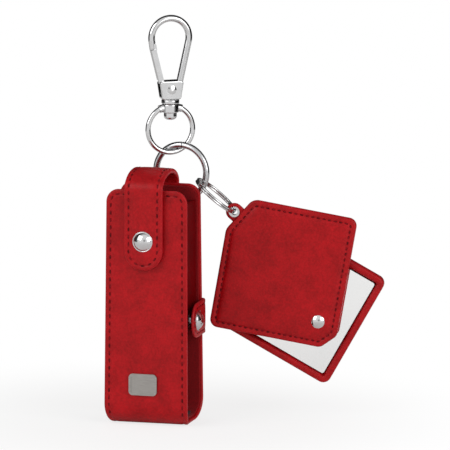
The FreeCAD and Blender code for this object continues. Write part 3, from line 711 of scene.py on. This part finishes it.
def makeLoop(size):
    thick = size["thickness"]
    hang = Vector(joints["case_swing"]["pos_m"]) / mm
    root = lambda z: halfDepth(z) + strapSize["thickness"] + thick
    outer = size["bore"] + thick
    swing = math.degrees(math.acos(min(1, (root(hang.z) - hang.y + 0.4) / outer)))
    points = [Vector((root(z), z)) for z in frange(loopLow.z, hang.z - outer - 0.3, 12)]
    for a in frange(-swing + 8, swing - 8, 24):
        t = math.radians(a)
        points.append(Vector((hang.y + outer * math.cos(t), hang.z + outer * math.sin(t))))
    points += [Vector((root(z), z)) for z in frange(hang.z + outer + 0.3, loopHigh.z, 6)]
    run = Run(points)
    centre = (loopLow.x + loopHigh.x) / 2
    place = alongRun(run, thick, centre)
    wide = loopHigh.x - loopLow.x
    ends = (0.8, 0.8)
    loop, distance = leatherStrip(
        "hangingLoop", lambda s: wide, run, place, thick, {"lip": 0.45}, leather, ends)
    markStripEdgeCoatAndHighlight(loop, run, distance, lambda co: co.x / mm - centre)
    line = [(x, 1.6) for x in frange(-wide / 2 + 1.2, wide / 2 - 1.2, 4)]
    side = [(wide / 2 - 1.2, s) for s in frange(1.6, 6.5, 8)]
    lines = [seamOn(place, part, thick - 0.02) for part in (line, side, [(-x, s) for x, s in side])]
    seams = sewLines("loopSeams", lines, 1.6, 1.1, 0.42, 0.3)
    for piece in (loop, seams):
        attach(piece, "case")
    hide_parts("hanging_loop")


makeLoop(loopSize)
print("hanging loop made")

# flat leather pieces are lofted through rings that run inward from a rounded outline;
# this tells whether an outline runs counter-clockwise
def turnsLeft(points):
    return sum(a.x * b.y - b.x * a.y for a, b in zip(points, points[1:] + points[:1])) > 0


# corners trimmed by a distance on every side, keeping the rounding concentric
def insetCorners(corners, depth):
    flat = [Vector(c[:2]) for c in corners]
    count = len(flat)
    side = 1 if turnsLeft(flat) else -1
    result = []
    for i in range(count):
        here = flat[i]
        before = (here - flat[i - 1]).normalized()
        after = (flat[(i + 1) % count] - here).normalized()
        inward = Vector((-before.y, before.x)) * side
        onward = Vector((-after.y, after.x)) * side
        half = math.cos(inward.angle(onward, 0) / 2)
        shift = (inward + onward).normalized() * (depth / max(half, 0.2))
        result.append((here.x + shift.x, here.y + shift.y, max(corners[i][2] - depth, 0.25)))
    return result


# every ring has the same number of points, shared out corner by corner so that they line up
def ringPoints(corners, perCorner=9, perSide=14):
    flat = [Vector(c[:2]) for c in corners]
    points = []
    count = len(corners)
    for i in range(count):
        here = flat[i]
        points += cornerArc(flat[i - 1], here, flat[(i + 1) % count], corners[i][2], perCorner)
        following, nextRadius = flat[(i + 1) % count], corners[(i + 1) % count][2]
        nextHalf = (here - following).angle(flat[(i + 2) % count] - following) / 2
        end = following + (here - following).normalized() * (nextRadius / math.tan(nextHalf))
        begin = points[-1].copy()
        for k in range(1, perSide):
            points.append(begin.lerp(end, k / perSide))
    return points


# rings of (inset, height) from the back, round the edge, to the front, then filled in to the middle
def loftFlat(name, corners, profile, place, material, dome=0.0):
    rings = [(ringPoints(insetCorners(corners, inset)), high) for inset, high in profile]
    count = len(rings[0][0])
    vertices = [place(p.x, p.y, high) for ring, high in rings for p in ring]
    faces = []

    def join(lower, upper):
        for i in range(count):
            j = (i + 1) % count
            faces.append((lower + i, lower + j, upper + j, upper + i))
    for r in range(len(rings) - 1):
        join(r * count, (r + 1) * count)
    for (ring, high), start, lift in ((rings[0], 0, 0), (rings[-1], (len(rings) - 1) * count, dome)):
        middle = sum(ring, Vector((0, 0))) / count
        last = start
        for share in (0.8, 0.6, 0.4, 0.2):
            first = len(vertices)
            rise = high + lift * (1 - share ** 2)
            vertices += [place(q.x, q.y, rise) for q in (middle.lerp(p, share) for p in ring)]
            join(last, first)
            last = first
        vertices.append(place(middle.x, middle.y, high + lift))
        faces += [(last + i, last + (i + 1) % count, len(vertices) - 1) for i in range(count)]
    return meshObject(name, vertices, faces, material)


# charm: a padded leather cover over a mirror tray, hung by the eyelet in its corner tab
charmSize = {
    "yaw": 8.0, "roll": 9.9, "width": 49.7, "height": 52.2, "x": 22.9, "z": -19.9, "round": 3.2,
    "chamferHigh": 13.4, "chamferLong": 8.3, "chamferLow": 5.6, "board": 1.4, "facing": 1.2,
    "lining": 0.8, "boardInset": 1.6, "seam": 2.2, "pitch": 2.2, "stitch": 1.4, "puff": 0.6,
    "tongue": 3.3, "tongueRoot": 6.6, "bore": 1.55,
}
eyeletAt = Vector(joints["charm_swing"]["pos_m"])
charmTurn = Matrix.Rotation(math.radians(charmSize["yaw"]), 4, "Z") @ Matrix.Rotation(
    math.radians(charmSize["roll"]), 4, "Y")


# x and z in the charm's own plane, y towards its back
def charmPoint(x, y, z):
    return eyeletAt + charmTurn @ Vector((x * mm, y * mm, z * mm))


def coverCorners(size):
    left, right = size["x"] - size["width"] / 2, size["x"] + size["width"] / 2
    low, high = size["z"] - size["height"] / 2, size["z"] + size["height"] / 2
    r = size["round"]
    return [
        (left, low, r), (left, high - size["chamferHigh"], 4.6), (left + size["chamferLong"], high, 4.6),
        (right, high, r), (right, low + size["chamferLow"], 3.4), (right - size["chamferLow"], low, 3.4)]


def makeCover(size):
    corners = coverCorners(size)
    board, facing = size["board"], size["facing"]
    front = lambda x, z, high: charmPoint(x, -board / 2 - high, z)
    seam, inside = size["seam"], size["boardInset"] - 0.1
    puff = size["puff"]
    profile = [
        (inside + 1.4, 0), (inside, 0), (inside, -board + 0.05), (0.4, -board + 0.05),
        (0.15, -board + 0.2), (0, -board + 0.5), (0, facing - 0.8), (0.08, facing - 0.45),
        (0.25, facing - 0.2), (0.5, facing - 0.05), (0.9, facing), (seam - 0.7, facing - 0.03),
        (seam - 0.3, facing - 0.2), (seam, facing - 0.3), (seam + 0.25, facing - 0.22),
        (seam + 0.6, facing + 0.06), (seam + 1.2, facing + puff * 0.45), (seam + 2.2, facing + puff * 0.75),
        (seam + 3.6, facing + puff * 0.93), (seam + 5.5, facing + puff)]
    cover = loftFlat("coverFacing", corners, profile, front, leather, 0.12)
    back = charmTurn.inverted()

    # the coated edge, lighter as a painted highlight, starts half a millimetre behind the face
    def edgeCoatAndHighlightShare(co):
        behind = (back @ (co - eyeletAt)).y / mm + board / 2 + facing
        return max(0.0, min(1.0, (behind - 0.5) / 0.4))
    markEdges(cover, edgeCoatAndHighlightShare)
    line = [(front(p.x, p.y, facing - 0.12), charmTurn @ Vector((0, -1, 0)))
            for p in ringPoints(insetCorners(corners, seam), 12, 16)]
    seams = sewLines("coverSeams", [line + line[:1]], size["pitch"], size["stitch"], 0.66, 0.36)
    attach(cover, "cover")
    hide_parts("cover_facing")
    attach(seams, "cover")
    rear = lambda x, z, high: charmPoint(x, board / 2 + high, z)
    skin = size["lining"]
    profile = [(2.0, 0), (0.5, 0), (0.3, 0.15), (0.3, skin - 0.25), (0.45, skin - 0.05), (0.75, skin)]
    backing = loftFlat("coverLining", corners, profile, rear, leather)
    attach(backing, "cover")
    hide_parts("cover_lining")


# the corner tongue: a strip with a round end, pierced for the metal eyelet
def makeTongue(size):
    inward = Vector((size["chamferHigh"], -size["chamferLong"])).normalized()
    across = Vector((-inward.y, inward.x))
    half, thick = size["tongue"], size["board"]
    outline = []
    turnFrom = math.atan2(across.y, across.x)
    for k in range(33):
        t = turnFrom + math.pi * k / 32
        outline.append(Vector((math.cos(t), math.sin(t))) * half)
    for share in frange(0.15, 1, 8):
        outline.append(inward * size["tongueRoot"] * share - across * half)
    for share in frange(0.85, -0.85, 9):
        outline.append(inward * size["tongueRoot"] + across * half * -share)
    for share in frange(1, 0.15, 8):
        outline.append(inward * size["tongueRoot"] * share + across * half)
    rings = []
    lip = 0.35
    under = [(0, 0), (0.5, 0), (0.93, 0), (1, lip)]
    for share, high in under + [(out, thick - up) for out, up in reversed(under)]:
        ring = []
        for p in outline:
            q = (p.normalized() * size["bore"]).lerp(p, share)
            ring.append(charmPoint(q.x, high - thick / 2, q.y))
        rings.append(ring)
    count = len(outline)
    faces = []
    for r in range(len(rings)):
        after = (r + 1) % len(rings)
        for i in range(count):
            j = (i + 1) % count
            faces.append((r * count + i, r * count + j, after * count + j, after * count + i))
    tongue = meshObject("coverTab", [p for ring in rings for p in ring], faces, leather)
    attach(tongue, "cover")
    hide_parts("cover_tab")


makeCover(charmSize)
makeTongue(charmSize)
print("charm cover made")

# mirror tray: leather over a shallow tray, swung out about its rivet
traySize = {
    "angle": 19.5, "pivotX": -19.5, "pivotZ": -21.5, "left": -24.2, "right": 28.0, "low": -25.6,
    "high": 22.2, "round": 3.2, "chamferHigh": 10.2, "chamferLong": 9.2, "depth": 4.2, "floor": 1.2,
    "rim": 3.2, "roll": 2.75, "rollRise": 1.0, "land": 8.0, "washer": 0.3,
}


def makeTray(size):
    pivot = Vector((charmSize["x"] + size["pivotX"], charmSize["z"] + size["pivotZ"]))
    spin = Matrix.Rotation(-math.radians(size["angle"]), 2)
    front = charmSize["board"] / 2 + charmSize["lining"] + size["washer"]
    left, right = charmSize["x"] + size["left"], charmSize["x"] + size["right"]
    low, high = charmSize["z"] + size["low"], charmSize["z"] + size["high"]
    r, depth = size["round"], size["depth"]
    corners = [
        (left, low, r), (left, high - size["chamferHigh"], 1.5), (left + size["chamferLong"], high, 1.5),
        (right, high, r), (right, low, r)]

    def place(x, z, back):
        q = pivot + spin @ (Vector((x, z)) - pivot)
        return charmPoint(q.x, front + depth - back, q.y)
    lip = 0.4
    # the rim is rolled: round outside and in, with its crown nearer the outer edge
    crown = size["roll"] / 2
    outer = [(4.0, 0), (1.0, 0), (lip, 0.02), (0.12, 0.14), (0, lip)]
    for k in range(13):
        t = math.pi * k / 12
        outer.append((crown - crown * math.cos(t), depth - size["rollRise"] * (1 - math.sin(t))))
    rings = [[place(p.x, p.y, h) for p in ringPoints(insetCorners(corners, inset))] for inset, h in outer]
    reach = 2 * size["land"]

    def landCut(p):
        over = (left - 1 + low - 1 + reach + 1) - (p.x + p.y)
        return p + Vector((over / 2, over / 2)) if over > 0 else p
    for inset, h in ((size["roll"], depth - size["rollRise"] - 0.3), (size["rim"], size["floor"])):
        ring = ringPoints(insetCorners(corners, inset))
        rings.append([place(q.x, q.y, h) for q in map(landCut, ring)])
    count = len(rings[0])
    vertices = [p for ring in rings for p in ring]
    faces = []
    for r_ in range(len(rings) - 1):
        for i in range(count):
            j = (i + 1) % count
            faces.append((r_ * count + i, r_ * count + j, (r_ + 1) * count + j, (r_ + 1) * count + i))
    for start in (0, (len(rings) - 1) * count):
        middle = sum(vertices[start:start + count], Vector()) / count
        vertices.append(middle)
        faces += [(start + i, start + (i + 1) % count, len(vertices) - 1) for i in range(count)]
    tray = meshObject("mirrorTray", vertices, faces, leather)
    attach(tray, "mirror")
    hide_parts("mirror_tray")


makeTray(traySize)
print("mirror tray made")

# spun metal: domed caps and rivet heads with a rolled rim
spunSize = {
    "strap_snap_cap": {"name": "strapCap", "rise": 2.05, "width": 8.0, "rim": 0.3, "body": "strap"},
    "side_snap_cap": {"name": "sideCap", "rise": 2.05, "width": 8.0, "rim": 0.3, "body": "tab"},
    "cover_cap_rivet": {"name": "coverCap", "rise": 1.5, "width": 6.6, "rim": 0.25, "body": "cover",
                        "x": 39.6, "z": -36.0},
}


# a profile of (radius, height) turned about an axis, closed at its pole
def spin(name, profile, foot, axis, material, steps=64):
    turn = Vector((0, 0, 1)).rotation_difference(axis).to_matrix()
    vertices, faces = [], []
    for radius, high in profile:
        for k in range(steps):
            t = 2 * math.pi * k / steps
            vertices.append(foot + turn @ Vector((radius * math.cos(t), radius * math.sin(t), high)) * mm)
    for r in range(len(profile) - 1):
        for k in range(steps):
            a, b = r * steps + k, r * steps + (k + 1) % steps
            faces.append((a, b, b + steps, a + steps))
    faces.append(tuple(reversed(range(steps))))
    top = (len(profile) - 1) * steps
    vertices.append(foot + turn @ Vector((0, 0, profile[-1][1])) * mm)
    faces += [(top + k, top + (k + 1) % steps, len(vertices) - 1) for k in range(steps)]
    return meshObject(name, vertices, faces, material)


def domeProfile(size):
    half, rim, rise = size["width"] / 2, size["rim"], size["rise"]
    profile = [(half - rim, 0), (half - 0.1, 0.02)]
    profile += [(half - rim / 2 + rim / 2 * math.cos(math.radians(a)),
                 rim / 2 + rim / 2 * math.sin(math.radians(a))) for a in range(-50, 141, 19)]
    inner = half - rim - 0.02
    profile.append((inner, rim * 0.6))
    crown = rise - rim * 0.6
    ball = (inner * inner + crown * crown) / (2 * crown)
    spread = math.asin(inner / ball)
    for k in range(1, 15):
        t = spread * (1 - k / 14)
        profile.append((max(ball * math.sin(t), 0.02), rise - ball * (1 - math.cos(t))))
    return profile


# where each cap stands on its leather, and which way it faces
def capSeat(node, size):
    low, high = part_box(node)
    middle = (low + high) / 2
    if node == "strap_snap_cap":
        return Vector((middle.x, low.y + size["rise"] * mm, middle.z)), Vector((0, -1, 0))
    if node == "side_snap_cap":
        return Vector((high.x - size["rise"] * mm, middle.y, middle.z)), Vector((1, 0, 0))
    face = -charmSize["board"] / 2 - charmSize["facing"]
    return charmPoint(size["x"], face, size["z"]), charmTurn @ Vector((0, -1, 0))


for node, size in spunSize.items():
    foot, axis = capSeat(node, size)
    cap = spin(size["name"], domeProfile(size), foot, axis, polished)
    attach(cap, size["body"])
    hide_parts(node)
print("caps made")

# finishes on the pieces that keep their built shape
finishes = {
    "polished": ["eye_ring", "eye_barrel", "swivel_post",
                 "swivel_collar", "hook_frame", "gate", "gate_rivet", "tab_eyelet",
                 "pivot_rivet", "split_ring"],
    "satin": ["carrier_ring", "strap_snap_socket", "front_snap_stud", "front_snap_eyelet",
              "side_snap_socket", "side_snap_stud", "side_snap_eyelet", "gate_spring"],
    "brushed": ["blank_plate"],
    "board": ["insole_board", "cover_board", "mirror_backing", "pivot_spacer"],
    "glass": ["mirror_glass"],
}
finishOf = {"polished": polished, "satin": satin, "brushed": brushed, "board": board, "glass": mirrorGlass}
for finish, names in finishes.items():
    for name in names:
        for slot in nodes[name].material_slots:
            slot.material = finishOf[finish]
print("finishes given")

# floor, light and camera
studio = {
    "azimuth": 15.0, "elevation": 9.6, "aim": (28.5, 0.0, 78.2), "across": 173.3, "lens": 600.0,
    "floor": "#F3F2F1", "floorPale": "#F6F5F4", "floorReach": 0.6, "fadeFrom": 0.04, "fadeTo": 0.14,
    "lift": 0.76, "worldLevel": 0.5, "key": 2.9, "fill": 2.6,
    "screens": [((-0.25, 0.95, -0.05), 92, 122, 0.04), ((0.94, 0.34, -0.2), 20, 50, 0.12),
                ((0.25, -0.95, 0.17), 2, 15, 0.4)],
}


def makeFloor(look):
    mesh = bpy.data.meshes.new("floor")
    reach, steps = look["floorReach"], 96
    ring = [(reach * math.cos(2 * math.pi * k / steps), reach * math.sin(2 * math.pi * k / steps), 0)
            for k in range(steps)]
    mesh.from_pydata(ring, [], [tuple(range(steps))])
    material, tree, shader, coords = startMaterial("paintedBoardFloor", {"Roughness": 0.8})
    stain = addNode(tree, "ShaderNodeTexNoise", inputs={"Vector": coords, "Scale": 3.0})
    shade = addNode(tree, "ShaderNodeMix", {"data_type": "RGBA"}, {
        "Factor": stain.outputs["Fac"], 6: linear(look["floor"]), 7: linear(look["floorPale"])})
    tree.links.new(shade.outputs[2], shader.inputs["Base Color"])
    # the eye sees the floor fade to white away from the object, with its shadow kept close by
    path = addNode(tree, "ShaderNodeLightPath").outputs
    seen = addNode(tree, "ShaderNodeMath", {"operation": "MAXIMUM"}, {
        0: path["Is Camera Ray"], 1: path["Is Transmission Ray"]})
    away = addNode(tree, "ShaderNodeVectorMath", {"operation": "LENGTH"}, {0: coords})
    fade = addNode(tree, "ShaderNodeMapRange", {"interpolation_type": "SMOOTHSTEP"}, {
        "Value": away.outputs["Value"], "From Min": look["fadeFrom"], "From Max": look["fadeTo"],
        "To Min": look["lift"], "To Max": 1.0})
    share = addNode(tree, "ShaderNodeMath", {"operation": "MULTIPLY"}, {
        0: fade.outputs[0], 1: seen.outputs[0]})
    glow = addNode(tree, "ShaderNodeEmission", inputs={"Color": (1, 1, 1, 1), "Strength": 1.0})
    mixed = addNode(tree, "ShaderNodeMixShader", inputs={
        "Fac": share.outputs[0], 1: shader.outputs[0], 2: glow.outputs[0]})
    tree.links.new(mixed.outputs[0], tree.nodes["Material Output"].inputs["Surface"])
    mesh.materials.append(material)
    floor = bpy.data.objects.new("floor", mesh)
    bpy.context.scene.collection.objects.link(floor)


# white to the eye; to bright metal, white with soft dark screens that give its edges a line
def makeWorld(look):
    world = bpy.data.worlds.new("softStudio")
    world.use_nodes = True
    tree = world.node_tree
    back = tree.nodes["Background"]
    back.inputs["Color"].default_value = (1, 1, 1, 1)
    path = addNode(tree, "ShaderNodeLightPath").outputs
    toward = addNode(tree, "ShaderNodeTexCoord").outputs["Generated"]
    level = None
    for aim, inner, outer, depth in look["screens"]:
        facing = addNode(tree, "ShaderNodeVectorMath", {"operation": "DOT_PRODUCT"}, {0: toward})
        facing.inputs[1].default_value = Vector(aim).normalized()
        dark = addNode(tree, "ShaderNodeMapRange", {"interpolation_type": "SMOOTHSTEP"}, {
            "Value": facing.outputs["Value"], "From Min": math.cos(math.radians(outer)),
            "From Max": math.cos(math.radians(inner)), "To Min": 1.0, "To Max": depth})
        if level is None:
            level = dark.outputs[0]
        else:
            both = addNode(tree, "ShaderNodeMath", {"operation": "MULTIPLY"}, {0: level, 1: dark.outputs[0]})
            level = both.outputs[0]
    shiny = addNode(tree, "ShaderNodeMix", {"data_type": "FLOAT"}, {
        "Factor": path["Is Glossy Ray"], "A": look["worldLevel"], "B": level})
    strength = addNode(tree, "ShaderNodeMix", {"data_type": "FLOAT"}, {
        "Factor": path["Is Camera Ray"], "A": shiny.outputs[0], "B": 1.0})
    tree.links.new(strength.outputs[0], back.inputs["Strength"])
    bpy.context.scene.world = world


def makeLamp(name, place, aim, size, power):
    lamp = bpy.data.lights.new(name, "AREA")
    lamp.size = size
    lamp.energy = power
    thing = bpy.data.objects.new(name, lamp)
    thing.location = place
    thing.rotation_euler = (Vector(aim) - Vector(place)).to_track_quat("-Z", "Y").to_euler()
    bpy.context.scene.collection.objects.link(thing)


def makeCamera(look):
    a, e = math.radians(look["azimuth"]), math.radians(look["elevation"])
    back = Vector((math.sin(a) * math.cos(e), -math.cos(a) * math.cos(e), math.sin(e)))
    camera = bpy.data.cameras.new("camera")
    camera.lens = look["lens"]
    camera.sensor_width = 36
    distance = look["across"] * mm * look["lens"] / camera.sensor_width
    thing = bpy.data.objects.new("camera", camera)
    thing.location = Vector(look["aim"]) * mm + back * distance
    thing.rotation_euler = (-back).to_track_quat("-Z", "Y").to_euler()
    camera.clip_start = 0.01
    bpy.context.scene.collection.objects.link(thing)
    bpy.context.scene.camera = thing


makeFloor(studio)
makeWorld(studio)
middle = (0.02, 0, 0.07)
makeLamp("keySoftbox", (-0.45, -0.6, 0.55), middle, 0.6, studio["key"])
makeLamp("fillSoftbox", (0.7, -0.4, 0.35), middle, 0.5, studio["fill"])
makeCamera(studio)
bpy.context.scene.view_settings.view_transform = "Standard"
